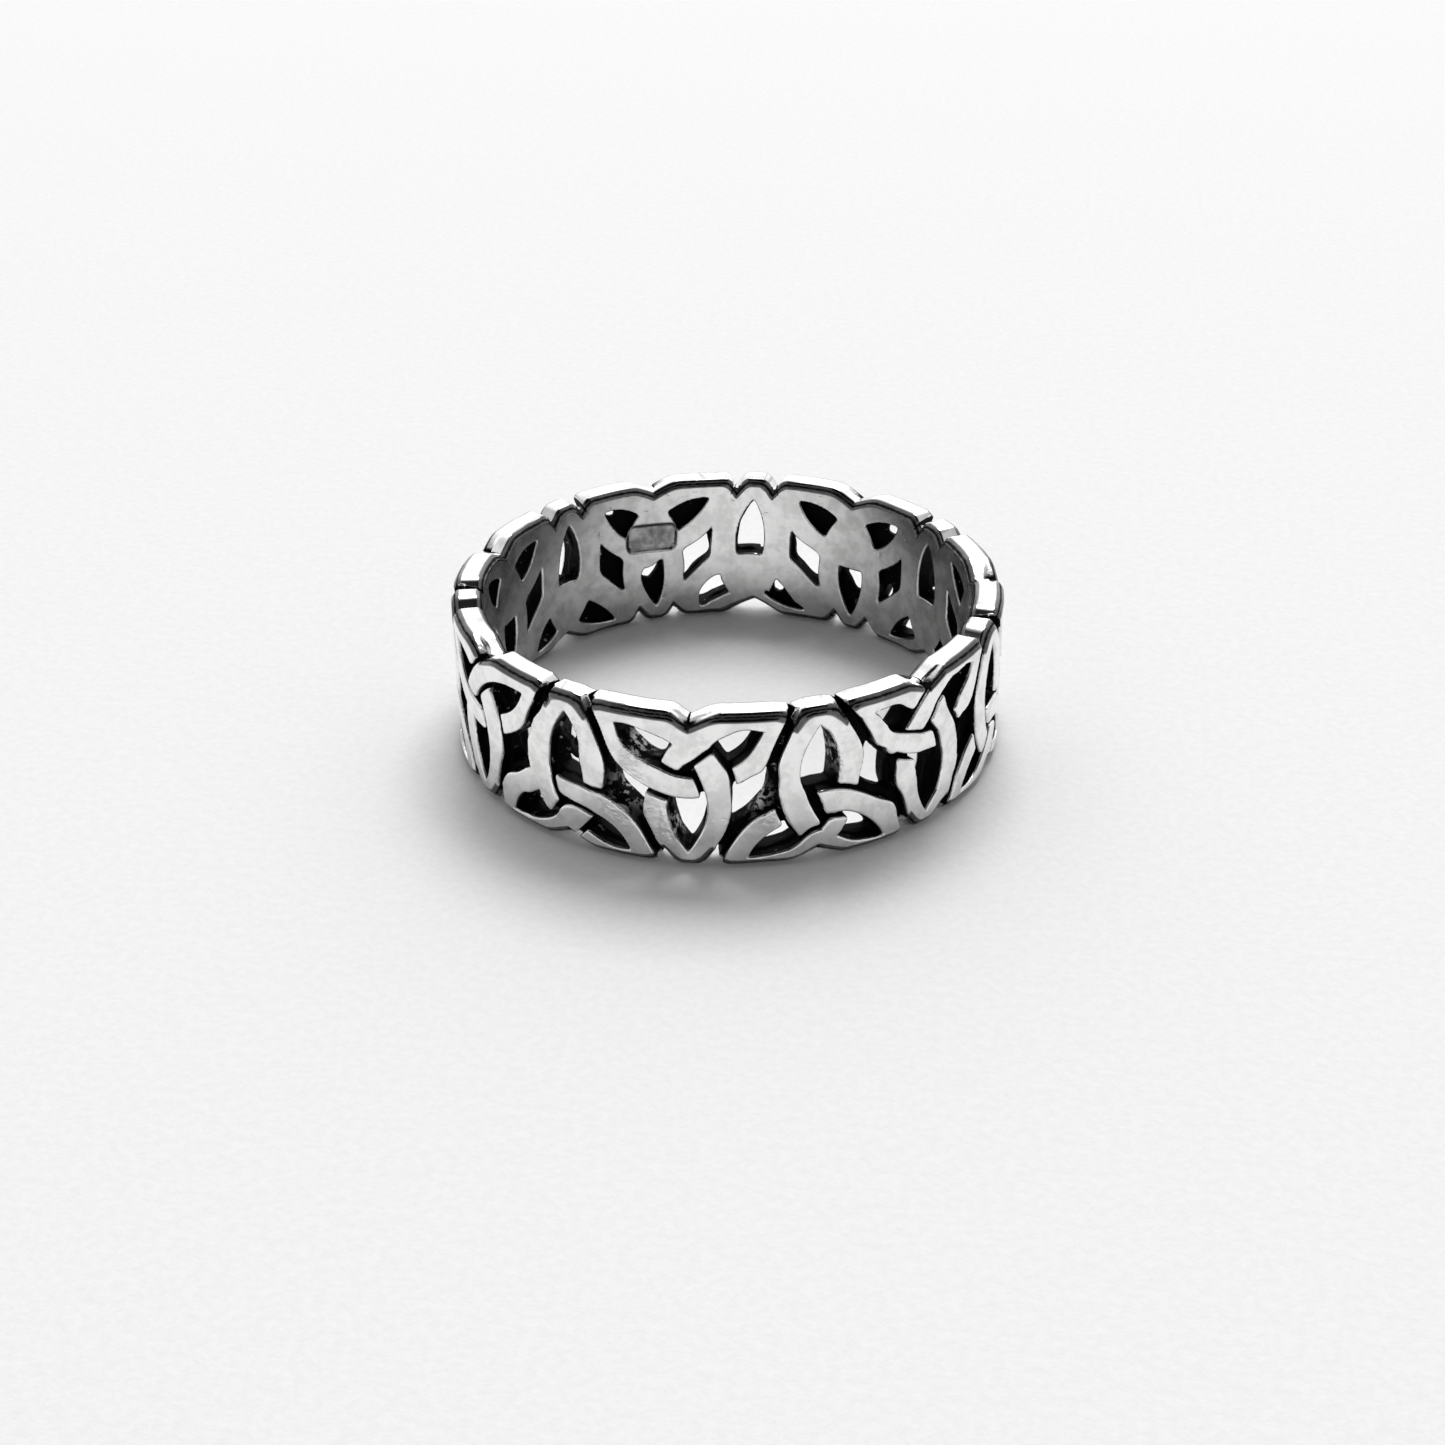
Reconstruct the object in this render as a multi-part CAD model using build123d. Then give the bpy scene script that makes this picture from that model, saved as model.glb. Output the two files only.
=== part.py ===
from build123d import *
from collections import namedtuple
from math import hypot, pi, radians, tan
import os

# Driving sizes in millimetres, angles in degrees. +Z is up, the ring lies on its
# side round the Z axis and stands on z = 0, and one knot faces -Y. strand_root is how
# far the raised strands sink into the wall under them.
inner_diameter = 18.2
wall_thickness = 1.2
band_width = 6.1
knot_pairs = 7
side_strand_width = 0.88
bar_width = 0.8
relief_height = 0.5
strand_root = 0.12
crossing_gap = 0.19
groove_width = 0.38
groove_lean = 22.8
groove_offset = 0.2
ledge_width = 0.06
slot_width = 1.32
slot_height = 1.3
slot_lean = 40.4
slot_aside = 0.16
slot_drop = 0.2
cusp_width = 1.9
cusp_depth = 0.42
notch_width = 0.76
notch_depth = 0.45
rim_bevel = 0.2
bore_edge_round = 0.18
stamp_length = 2.1
stamp_height = 1.1
stamp_depth = 0.12
stamp_corner = 0.2
stamp_rise = 0.75
stamp_pair = 4

# The strands of one knot, as shares of the knot's pitch (across) and of the band's
# width (up), from the knot's middle with its two tips upward. A tip is where the bar
# meets a side strand, the foot is where the two side strands meet, bar_up is the
# bar's lowest point, and side is the point where a side strand bulges most.
KnotShape = namedtuple("KnotShape", "tip_across tip_up foot_up bar_up side_across side_up")
DOWN_KNOT = KnotShape(0.684, 0.438, -0.506, 0.026, 0.236, -0.098)
UP_KNOT = KnotShape(0.668, 0.495, -0.491, 0.108, 0.245, -0.068)

# Values that follow from the driving sizes
inner_radius = inner_diameter / 2
outer_radius = inner_radius + wall_thickness
outer_diameter = 2 * outer_radius
floor_radius = outer_radius - relief_height
knot_count = 2 * knot_pairs
pitch_angle = 360 / knot_count
pitch = 2 * pi * outer_radius / knot_count
half_width = band_width / 2
cut_start = inner_radius / 2
cut_length = outer_radius

Sweep = namedtuple("Sweep", "across up radius width")


def sweep_through(start, middle, end, width):
    """The circle that a strand follows through three points (across, up)."""
    (x1, y1), (x2, y2), (x3, y3) = start, middle, end
    scale = 2 * (x1 * (y2 - y3) + x2 * (y3 - y1) + x3 * (y1 - y2))
    square1, square2, square3 = x1**2 + y1**2, x2**2 + y2**2, x3**2 + y3**2
    across = (square1 * (y2 - y3) + square2 * (y3 - y1) + square3 * (y1 - y2)) / scale
    up = (square1 * (x3 - x2) + square2 * (x1 - x3) + square3 * (x2 - x1)) / scale
    return Sweep(across, up, hypot(x1 - across, y1 - up), width)


def knot_sweeps(shape):
    """A knot's bar, left strand and right strand, with the tips upward."""
    left_tip = (-shape.tip_across * pitch, shape.tip_up * band_width)
    right_tip = (shape.tip_across * pitch, shape.tip_up * band_width)
    foot = (0, shape.foot_up * band_width)
    bar_low = (0, shape.bar_up * band_width)
    left_bulge = (-shape.side_across * pitch, shape.side_up * band_width)
    right_bulge = (shape.side_across * pitch, shape.side_up * band_width)
    bar = sweep_through(left_tip, bar_low, right_tip, bar_width)
    left = sweep_through(right_tip, left_bulge, foot, side_strand_width)
    right = sweep_through(left_tip, right_bulge, foot, side_strand_width)
    return bar, left, right


def outer_disc(sweep, grow=0.0):
    """The face inside a strand's outer edge."""
    return Pos(sweep.across, sweep.up) * Circle(sweep.radius + sweep.width / 2 + grow)


def inner_disc(sweep, shrink=0.0):
    """The face inside a strand's inner edge."""
    return Pos(sweep.across, sweep.up) * Circle(sweep.radius - sweep.width / 2 - shrink)


def half_plane(across, up):
    """All of a knot's plane on one side of its middle, in the direction given."""
    middle = Pos(across * outer_radius, up * outer_radius)
    return middle * Rectangle(outer_diameter, outer_diameter)


def top_of(strand, second, third):
    """A strand's top face, from tip to tip."""
    return (outer_disc(strand) - inner_disc(strand)) & (outer_disc(second) + outer_disc(third))


def dive_under(over, across, up):
    """The break in a strand that dives under another one on the given side."""
    widened = outer_disc(over, crossing_gap) - inner_disc(over, crossing_gap)
    return widened & half_plane(across, up)


def groove_faces():
    """The dividing grooves at a knot's two upper corners and beside its foot."""
    groove = Rectangle(groove_width, outer_diameter)
    upper = pitch / 2 + groove_offset
    lower = pitch / 2 - groove_offset
    grooves = Sketch()
    for side in (1, -1):
        lean = Rot(0, 0, -side * groove_lean)
        grooves += (Pos(side * upper, 0) * lean * groove) & half_plane(0, 1)
        grooves += (Pos(side * lower, 0) * lean * groove) & half_plane(0, -1)
    return grooves


def knot_face(shape):
    """The strand tops of one knot, each broken where it dives under another."""
    bar, left, right = knot_sweeps(shape)
    bar_top = top_of(bar, left, right) - dive_under(right, 1, 0)
    left_top = top_of(left, bar, right) - dive_under(bar, -1, 0)
    right_top = top_of(right, bar, left) - dive_under(left, 0, 1)
    return bar_top + left_top + right_top - groove_faces()


def lobe_faces(shape):
    """The three holes in a knot's lobes, clear of the strand tops by the ledge."""
    bar, left, right = knot_sweeps(shape)
    foot_lobe = inner_disc(left, ledge_width) & inner_disc(right, ledge_width)
    left_lobe = inner_disc(bar, ledge_width) & inner_disc(right, ledge_width)
    right_lobe = inner_disc(bar, ledge_width) & inner_disc(left, ledge_width)
    foot_lobe -= outer_disc(bar, ledge_width)
    left_lobe -= outer_disc(left, ledge_width)
    right_lobe -= outer_disc(right, ledge_width)
    return foot_lobe + left_lobe + right_lobe


def turned(sweep, across):
    """A sweep turned half round and set beside its neighbour."""
    return Sweep(across - sweep.across, -sweep.up, sweep.radius, sweep.width)


def slot_window(side):
    """The slot's four-sided outline: upright sides, and a head and a sill that rise
    towards the up knot."""
    by_down = -side * (slot_aside + slot_width / 2)
    by_up = -side * (slot_aside - slot_width / 2)
    climb = slot_width / 2 * tan(radians(slot_lean))
    sill = -slot_drop - slot_height / 2
    head = -slot_drop + slot_height / 2
    lower = [(by_down, sill - climb), (by_up, sill + climb)]
    upper = [(by_up, head + climb), (by_down, head - climb)]
    return Polygon(*lower, *upper, align=None)


def slot_face(side):
    """The hole between a down knot and the up knot on one side, in the plane between."""
    window = slot_window(side)
    down_bar, down_left, down_right = knot_sweeps(DOWN_KNOT)
    up_bar, up_left, up_right = knot_sweeps(UP_KNOT)
    for sweep in (down_bar, down_right):
        moved = sweep._replace(across=side * (sweep.across - pitch / 2))
        window -= outer_disc(moved, ledge_width)
    for sweep in (up_bar, up_right):
        beside = turned(sweep, pitch / 2)
        window -= outer_disc(beside._replace(across=side * beside.across), ledge_width)
    return window.faces().sort_by_distance((0, 0))[0]


def rim_vee(width, depth):
    """A V cut down into the upper rim, as wide as given where it meets the rim."""
    low = half_width - depth
    high = half_width + depth
    return Polygon((-width, high), (0, low), (width, high), align=None)


def rim_faces():
    """What is cut from the rim over a knot: the cusp between its tips and a notch
    at the end of each groove beside them."""
    groove_end = pitch / 2 + groove_offset + half_width * tan(radians(groove_lean))
    notch = rim_vee(notch_width, notch_depth)
    notches = Pos(-groove_end, 0) * notch + Pos(groove_end, 0) * notch
    return rim_vee(cusp_width, cusp_depth) + notches


def through_wall(face, angle, up=1):
    """A face of the plane that a knot faces out of, carried out through the wall from
    halfway to the bore; up is -1 for a knot whose tips point down."""
    outward = Vector(0, -1, 0).rotate(Axis.Z, angle)
    sideways = Vector(up, 0, 0).rotate(Axis.Z, angle)
    middle = Vector(0, 0, half_width)
    plane = Plane(origin=middle + outward * cut_start, x_dir=sideways, z_dir=outward)
    return extrude(plane * face, cut_length)


def band_blank():
    """The plain band, bevelled at its outer edges and rounded into the bore."""
    blank = Cylinder(outer_radius, band_width) - Cylinder(inner_radius, band_width)
    rims = blank.edges().filter_by(GeomType.CIRCLE)
    outer_rims = rims.filter_by(lambda edge: edge.radius > inner_radius + wall_thickness / 2)
    blank = chamfer(outer_rims, rim_bevel)
    rims = blank.edges().filter_by(GeomType.CIRCLE)
    inner_rims = rims.filter_by(lambda edge: edge.radius < inner_radius + bore_edge_round / 2)
    blank = fillet(inner_rims, bore_edge_round)
    return Pos(0, 0, half_width) * blank


def around(solid):
    """A solid repeated at every pair of knots."""
    return [Rot(0, 0, 2 * pitch_angle * pair) * solid for pair in range(knot_pairs)]


def knot_band():
    """The whole ring: a pierced band with the strands of its knots raised on it."""
    blank = band_blank()
    floor_cylinder = Pos(0, 0, half_width) * Cylinder(floor_radius, outer_diameter)
    root_cylinder = Pos(0, 0, half_width) * Cylinder(floor_radius - strand_root, outer_diameter)
    holes = through_wall(lobe_faces(DOWN_KNOT), 0) + through_wall(lobe_faces(UP_KNOT), pitch_angle, -1)
    holes += through_wall(slot_face(1), pitch_angle / 2)
    holes += through_wall(slot_face(-1), -pitch_angle / 2)
    band = (blank & floor_cylinder) - around(holes)
    shell = blank - root_cylinder
    down_strands = through_wall(knot_face(DOWN_KNOT), 0) & shell
    up_strands = through_wall(knot_face(UP_KNOT), pitch_angle, -1) & shell
    band += around(down_strands) + around(up_strands)
    rim_cuts = through_wall(rim_faces(), 0) + through_wall(rim_faces(), pitch_angle, -1)
    band -= around(rim_cuts)
    return band - stamp_recess()


def stamp_recess():
    """A bare shallow panel in the bore, behind one down knot."""
    face = Pos(0, stamp_rise) * RectangleRounded(stamp_length, stamp_height, stamp_corner)
    depth = Pos(0, 0, half_width) * Cylinder(inner_radius + stamp_depth, outer_diameter)
    return through_wall(face, 2 * pitch_angle * stamp_pair) & depth


os.makedirs("parts", exist_ok=True)
export_step(knot_band(), "parts/knot_band.step")
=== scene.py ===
"""A cast silver ring of interlaced knots, lying on its side on pale paper.

Every length in the classes is in millimetres; METRE turns it into scene units.
The ring is worked out in three coordinates: along, the arc round the outer face
from the middle of the knot that faces -Y; up, the height above the band's middle;
and radius, the distance from the ring's axis. A field is a distance in
millimetres, more than 0 inside its shape.
"""
import logging
from dataclasses import dataclass, field
from enum import Enum
from functools import reduce
from math import cos, pi, radians, sin
from typing import NamedTuple

import bpy
import numpy as np
from mathutils import Matrix, Vector


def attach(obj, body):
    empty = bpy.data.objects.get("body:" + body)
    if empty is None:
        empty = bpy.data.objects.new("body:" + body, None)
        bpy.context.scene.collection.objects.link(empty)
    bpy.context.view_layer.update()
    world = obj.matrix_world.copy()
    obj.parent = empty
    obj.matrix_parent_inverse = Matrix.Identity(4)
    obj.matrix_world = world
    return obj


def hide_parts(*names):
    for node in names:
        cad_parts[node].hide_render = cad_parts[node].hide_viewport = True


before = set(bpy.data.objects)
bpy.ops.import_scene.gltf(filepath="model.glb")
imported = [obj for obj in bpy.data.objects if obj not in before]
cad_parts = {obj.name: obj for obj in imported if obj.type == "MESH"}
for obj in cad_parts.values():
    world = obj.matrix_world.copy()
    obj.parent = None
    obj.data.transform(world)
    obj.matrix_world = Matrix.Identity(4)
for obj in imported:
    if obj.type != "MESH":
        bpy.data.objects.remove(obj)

METRE = 0.001
LOG = logging.getLogger("knot_ring")

Points = np.ndarray
Colour = tuple[float, float, float, float]


class Part(Enum):
    """The three strands of a knot, as the places in its tables."""

    BAR = 0
    LEFT = 1
    RIGHT = 2


class Change(Enum):
    """What a touch changes: the web widens the metal round a hole, below 0 the hole
    itself; the flange closes a hole at the recess floor alone; the rim fills the rim's
    notches, below 0 deepens them; and the spark, 0 to 1, brings bright crumbs."""

    WEB = "web"
    FLANGE = "flange"
    RIM = "rim"
    SPARK = "spark"


class Layer(Enum):
    """What the band's mesh carries for its finish: the distance from the rim, the
    height above the bore, the depth below the outer face, the share of bright crumbs,
    the share of tarnish and painted shade on the bore, and the distances inside the
    slits and under the bevels, where a dark reflection is painted."""

    RIM = "rim"
    HEIGHT = "height"
    DEPTH = "depth"
    SPARK = "spark"
    SHADE_AND_TARNISH = "shade_and_tarnish"
    WEDGE = "wedge"
    BEVEL = "bevel"


def soft_min(first: Points, second: Points, blend: float) -> Points:
    """The smaller of two fields, with the crease between them rounded.

    Where the two differ by less than blend, the smaller one is lowered by
    blend / 4 times the square of one minus their difference over blend.

    Args:
        first: One field.
        second: The other field, of the same or a broadcast shape.
        blend: How near in value the two have to be to melt together.

    Returns:
        The rounded minimum.
    """
    near = np.maximum(blend - np.abs(first - second), 0) / blend
    return np.minimum(first, second) - near * near * (blend / 4)


def soft_max(first: Points, second: Points, blend: float) -> Points:
    """The larger of two fields, with the crease between them filled, as soft_min."""
    return -soft_min(-first, -second, blend)


@dataclass(frozen=True)
class Ripple:
    """A smooth random wave over the band that closes on itself round the ring.

    The value is a sum of sines of (turns times the angle + rise times the height
    + a phase), each with a random whole number of turns, rise and phase. shortest and
    longest limit each sine's share of the wavelength, and rough_radius is about the
    ring's radius.
    """

    seed: int
    wavelength: float
    waves: int = 9
    shortest: float = 0.7
    longest: float = 1.5
    rough_radius: float = 10.0

    def over(self, angle: Points, up: Points) -> Points:
        """The wave's height, about -1 to 1.

        Args:
            angle: Angles round the ring in radians.
            up: Heights above the band's middle.

        Returns:
            One value for each point.
        """
        rng = np.random.default_rng(self.seed)
        total = np.zeros(np.broadcast(angle, up).shape, np.float32)
        for _ in range(self.waves):
            heading = rng.uniform(0, 2 * pi)
            pace = 2 * pi / (self.wavelength * rng.uniform(self.shortest, self.longest))
            turns = round(pace * cos(heading) * self.rough_radius)
            rise = pace * sin(heading)
            phase = rng.uniform(0, 2 * pi)
            total += np.sin(turns * angle + rise * up + phase)
        return total / np.sqrt(self.waves)


@dataclass(frozen=True)
class KnotShape:
    """The circles that one kind of knot's strands follow, its tips upward.

    bar_up and bar_radius give the bar's circle, whose middle is over the knot's
    middle; side_across, side_up and side_radius give both side strands' circles.
    """

    bar_up: float
    bar_radius: float
    side_across: float
    side_up: float
    side_radius: float
    bar_width: float = 0.80
    side_width: float = 0.88

    def rows(self) -> Points:
        """The strands as rows of (across, up, radius, width), in Part's order."""
        return np.array([
            (0, self.bar_up, self.bar_radius, self.bar_width),
            (self.side_across, self.side_up, self.side_radius, self.side_width),
            (-self.side_across, self.side_up, self.side_radius, self.side_width),
        ])


DOWN_KNOT = KnotShape(bar_up=3.43, bar_radius=3.27, side_across=2.29, side_up=-0.60, side_radius=3.38)
UP_KNOT = KnotShape(bar_up=3.86, bar_radius=3.20, side_across=2.37, side_up=-0.41, side_radius=3.50)


@dataclass
class BandSizes:
    """The band's own sizes.

    skin keeps the surface that far inside the part's faces. A lean is a slope, and
    taper narrows the holes inwards. A size in _round, and scallop in the rim, is how
    softly an edge or a crease turns. The flange in the holes starts at the radius
    flange_low, and a slit at the height slit_start.
    """

    outer_radius: float = 10.3
    inner_radius: float = 9.1
    floor_radius: float = 9.78
    width: float = 6.1
    knots: int = 14
    skin: float = 0.004
    gap: float = 0.19
    groove_width: float = 0.38
    groove_lean: float = 0.42
    groove_offset: float = 0.2
    ledge: float = 0.03
    taper: float = 0.01
    lobe_round: float = 0.16
    slot_height: float = 1.4
    slot_half: float = 0.66
    slot_lean: float = 0.85
    slot_aside: float = 0.16
    slot_drop: float = 0.19
    slot_round: float = 0.2
    notch_depth: float = 0.45
    notch_half: float = 0.38
    scallop: float = 0.22
    cusp_depth: float = 0.42
    cusp_half: float = 0.95
    cusp_round: float = 0.15
    outer_bevel: float = 0.25
    bore_bevel: float = 0.22
    flange_low: float = 9.5
    flange_width: float = 0.08
    slit_depth: float = 1.15
    slit_start: float = 2.25
    slit_round: float = 0.03
    seam: float = 0.21
    seam_taper: float = 3.0
    top_round: float = 0.09
    plan_round: float = 0.12
    root_fill: float = 0.12
    hole_round: float = 0.07
    edge_round: float = 0.05
    bevel_round: float = 0.03

    @property
    def half(self) -> float:
        """Half the band's width."""
        return self.width / 2

    @property
    def around(self) -> float:
        """The whole way round the outer face."""
        return 2 * pi * self.outer_radius

    @property
    def pitch(self) -> float:
        """The arc from one knot's middle to the next on the outer face."""
        return self.around / self.knots

    def wrap(self, arcs: Points) -> Points:
        """The same arcs, measured the shorter way round the ring."""
        return (arcs + self.around / 2) % self.around - self.around / 2


@dataclass(frozen=True)
class Spot:
    """A place on the pattern: across and up from one knot's middle, seen from outside."""

    knot: int
    across: float
    up: float

    def nearness(self, along: Points, up: Points, sizes: BandSizes, reach: float) -> Points:
        """A bell curve round the spot: e to the minus square of the distance over reach."""
        aside = sizes.wrap(along - self.knot * sizes.pitch - self.across)
        return np.exp(-(aside ** 2 + (up - self.up) ** 2) / reach ** 2)


@dataclass(frozen=True)
class Nudge(Spot):
    """A soft push on the pattern: what lies near the spot moves right and up. One that
    moves nothing holds its place against its neighbours' pushes."""

    right: float = 0.0
    rise: float = 0.0
    reach: float = 0.5


@dataclass(frozen=True)
class Touch(Spot):
    """A local change of the casting, which fades as a bell curve over reach."""

    amount: float = 0.0
    reach: float = 0.5
    change: Change = Change.WEB


@dataclass(frozen=True)
class Gap:
    """The gaps beside the strand that passes over, at one crossing of one knot.

    outer is the gap outside that strand's circle and inner the one inside it; below
    0 the strands run together there.
    """

    knot: int
    over: Part
    outer: float
    inner: float


@dataclass
class StampPanel:
    """The bare shallow panel in the bore."""

    knot: int = 8
    across: float = 0.4
    up: float = 0.75
    half_length: float = 1.17
    half_height: float = 0.55
    corner: float = 0.3
    depth: float = 0.12
    shoulder: float = 0.24
    tilt: float = 0.06

    def share(self, along: Points, up: Points, sizes: BandSizes) -> Points:
        """How far the panel sinks the bore at each point, as a share of its depth.

        A smooth step of the distance inside a rounded rectangle.

        Args:
            along: Arcs round the ring.
            up: Heights above the band's middle.
            sizes: The band's sizes.

        Returns:
            The share at each point.
        """
        beside = sizes.wrap(along - self.knot * sizes.pitch - self.across + self.tilt * up)
        across = np.abs(beside) - self.half_length + self.corner
        rise = np.abs(up - self.up - self.tilt * beside) - self.half_height + self.corner
        beyond = np.hypot(np.maximum(across, 0), np.maximum(rise, 0))
        outside = beyond + np.minimum(np.maximum(across, rise), 0) - self.corner
        share = np.clip(0.5 - outside / self.shoulder, 0, 1)
        return share * share * (3 - 2 * share)


@dataclass
class KnotPattern:
    """The pattern of the band, as fields over the arc and the height."""

    sizes: BandSizes
    gaps: tuple[Gap, ...] = ()
    nudges: tuple[Nudge, ...] = ()
    touches: tuple[Touch, ...] = ()
    strands: Points = field(init=False)
    crossing: Points = field(init=False)

    def __post_init__(self) -> None:
        """Fills the tables: strands[knot, part, column], crossing[knot, part, side]."""
        kinds = (DOWN_KNOT.rows(), UP_KNOT.rows())
        self.strands = np.array([kinds[knot % 2] for knot in range(self.sizes.knots)])
        self.crossing = np.full((self.sizes.knots, len(Part), 2), self.sizes.gap)
        for gap in self.gaps:
            self.crossing[gap.knot % self.sizes.knots, gap.over.value] = gap.outer, gap.inner

    def nearest(self, along: Points) -> Points:
        """The number of the knot whose middle is nearest to each arc."""
        return np.rint(along / self.sizes.pitch).astype(int)

    def seen_from(self, number: Points, along: Points, up: Points) -> tuple[Points, Points, Points]:
        """The numbered knots' table places, and points across and up in them, tips upward."""
        turn = np.where(number % 2 == 0, 1.0, -1.0)
        return number % self.sizes.knots, turn * (along - number * self.sizes.pitch), turn * up

    def discs(self, knot: Points, across: Points, up: Points) -> tuple[Points, Points]:
        """The fields inside the outer and the inner circles of a knot's strands.

        Each is the circle's radius, more or less half the strand's width, less the
        distance to the circle's middle.

        Args:
            knot: Each point's knot.
            across: Across in the knot's plane.
            up: Up in the knot's plane.

        Returns:
            The outer discs' and the inner discs' fields, each in Part's order.
        """
        table = np.moveaxis(self.strands[knot], (-1, -2), (0, 1))
        middle_across, middle_up, radius, width = table
        distance = np.hypot(across - middle_across, up - middle_up)
        return radius + width / 2 - distance, radius - width / 2 - distance

    def knot_fields(self, number: Points, along: Points, up: Points) -> tuple[Points, Points, Points]:
        """Knots' strand tops, their three lobe holes and their rim cusps.

        A strand is the band between its two circles, inside either of the other
        strands' outer circles, less the widened band of the strand that passes over
        it, on the side where it dives. A lobe is what two inner circles share outside
        the third strand. The cusp is a shallow V in the rim between the knot's tips.

        Args:
            number: The knots' numbers.
            along: Arcs round the ring.
            up: Heights above the band's middle.

        Returns:
            The three fields.
        """
        sizes = self.sizes
        knot, across, rise = self.seen_from(number, along, up)
        outer, inner = self.discs(knot, across, rise)
        dives = ((Part.RIGHT, across), (Part.BAR, -across), (Part.LEFT, rise))
        tops, lobes = [], []
        for part, (over, side) in zip(Part, dives):
            own, above = part.value, over.value
            first, second = (other.value for other in Part if other is not part)
            strip = np.minimum(outer[own], -inner[own])
            reach = np.maximum(outer[first], outer[second])
            outside, inside = np.moveaxis(self.crossing[knot, above], -1, 0)
            wide = np.minimum(outer[above] + outside, inside - inner[above])
            dive = np.minimum(wide, side)
            tops.append(soft_min(np.minimum(strip, reach), -dive, sizes.plan_round))
            shared = soft_min(inner[first], inner[second], sizes.lobe_round)
            lobes.append(soft_min(shared, -outer[own], sizes.lobe_round))
        steep = sizes.cusp_depth / sizes.cusp_half
        level = rise - (sizes.half - sizes.cusp_depth) - steep * np.abs(across)
        holes = np.maximum.reduce(lobes) - sizes.ledge
        return np.maximum.reduce(tops), holes, level / np.hypot(1, steep)

    def slot_field(self, along: Points, up: Points) -> tuple[Points, Points, Points]:
        """The slot, the groove and the rim notches between two neighbouring knots.

        The slot is a window with upright sides, whose sill and head rise towards the
        up knot, less the strands' outer circles. The groove is half its width less the
        distance to a leaning line, and a notch is a V where the groove meets the rim.

        Args:
            along: Arcs round the ring.
            up: Heights above the band's middle.

        Returns:
            The three fields.
        """
        sizes = self.sizes
        border = np.floor(along / sizes.pitch).astype(int)
        turn = np.where(border % 2 == 0, 1.0, -1.0)
        across = turn * (along - (border + 0.5) * sizes.pitch)
        beside = across + sizes.slot_aside
        slant = (up + sizes.slot_drop - sizes.slot_lean * beside) / np.hypot(1, sizes.slot_lean)
        thick = sizes.slot_height / 2 / np.hypot(1, sizes.slot_lean)
        window = soft_min(thick - np.abs(slant), sizes.slot_half - np.abs(beside), sizes.slot_round)
        for step in (0, 1):
            knot, own_across, own_up = self.seen_from(border + step, along, up)
            (bar, left, right), _ = self.discs(knot, own_across, own_up)
            near = np.where(own_across > 0, right, left)
            window = np.minimum(window, -np.maximum(bar, near) - sizes.ledge)
        offset = np.where(up > 0, sizes.groove_offset, -sizes.groove_offset)
        upright = cos(np.arctan(sizes.groove_lean))
        aside = (across - offset - sizes.groove_lean * up) * upright
        groove = sizes.groove_width / 2 - np.abs(aside)
        end = sizes.groove_offset + sizes.groove_lean * sizes.half
        steep = sizes.notch_depth / sizes.notch_half
        from_end = np.abs(across - np.where(up > 0, end, -end))
        level = np.abs(up) - (sizes.half - sizes.notch_depth) - steep * from_end
        return window, groove, level / np.hypot(1, steep)

    def nudged(self, along: Points, up: Points) -> tuple[Points, Points]:
        """Where on the regular pattern each point of the strayed pattern comes from.

        The move at a point is the sum of the nudges by their weights, over the
        weights' sum where that is more than 1.

        Args:
            along: Arcs round the ring.
            up: Heights above the band's middle.

        Returns:
            The regular pattern's arcs and heights.
        """
        right, rise, total = (np.zeros(np.broadcast(along, up).shape) for _ in range(3))
        for nudge in self.nudges:
            weight = nudge.nearness(along, up, self.sizes, nudge.reach)
            total += weight
            right += nudge.right * weight
            rise += nudge.rise * weight
        share = np.maximum(total, 1)
        return along - right / share, up - rise / share

    def touched(self, along: Points, up: Points, change: Change) -> Points:
        """The sum of the touches of one kind, each by its bell curve.

        Args:
            along: Arcs round the ring.
            up: Heights above the band's middle.
            change: Which kind.

        Returns:
            One value for each point.
        """
        total = np.zeros(np.broadcast(along, up).shape)
        for touch in self.touches:
            if touch.change is change:
                total += touch.amount * touch.nearness(along, up, self.sizes, touch.reach)
        return total

    def fields(self, along: Points, up: Points) -> tuple[Points, Points, Points, Points]:
        """The strand tops, the web of metal under them, the rim and the slits.

        A slit is where a groove nears the rim: the smaller of the groove's field and
        the distance past the slit's start.

        Args:
            along: Arcs round the ring.
            up: Heights above the band's middle.

        Returns:
            The four fields.
        """
        sizes = self.sizes
        web_change = self.touched(along, up, Change.WEB)
        rim_fill = self.touched(along, up, Change.RIM)
        along, up = self.nudged(along, up)
        slot, groove, notch = self.slot_field(along, up)
        nearest = self.nearest(along)
        knots = [self.knot_fields(nearest + step, along, up) for step in (-1, 0, 1)]
        tops, lobes, cusp = (np.maximum.reduce(parts) for parts in zip(*knots))
        tops = soft_min(tops, -groove, sizes.plan_round)
        web = web_change - np.maximum(lobes, slot)
        level = sizes.half - sizes.skin - np.abs(up)
        rim = soft_min(level, rim_fill - notch, sizes.scallop)
        rim = soft_min(rim, rim_fill - cusp, sizes.cusp_round)
        slit = np.minimum(groove, np.abs(up) - sizes.slit_start)
        return tops, web, rim, slit


class Plan(NamedTuple):
    """The band over its arc and height: the fields of the strand tops, the web under
    them, the rim and the slits, the radius of the recess floor and of the bore, and
    the width of the ragged flange left in the holes."""

    tops: Points
    web: Points
    rim: Points
    slit: Points
    floor: Points
    bore: Points
    flange: Points


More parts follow.
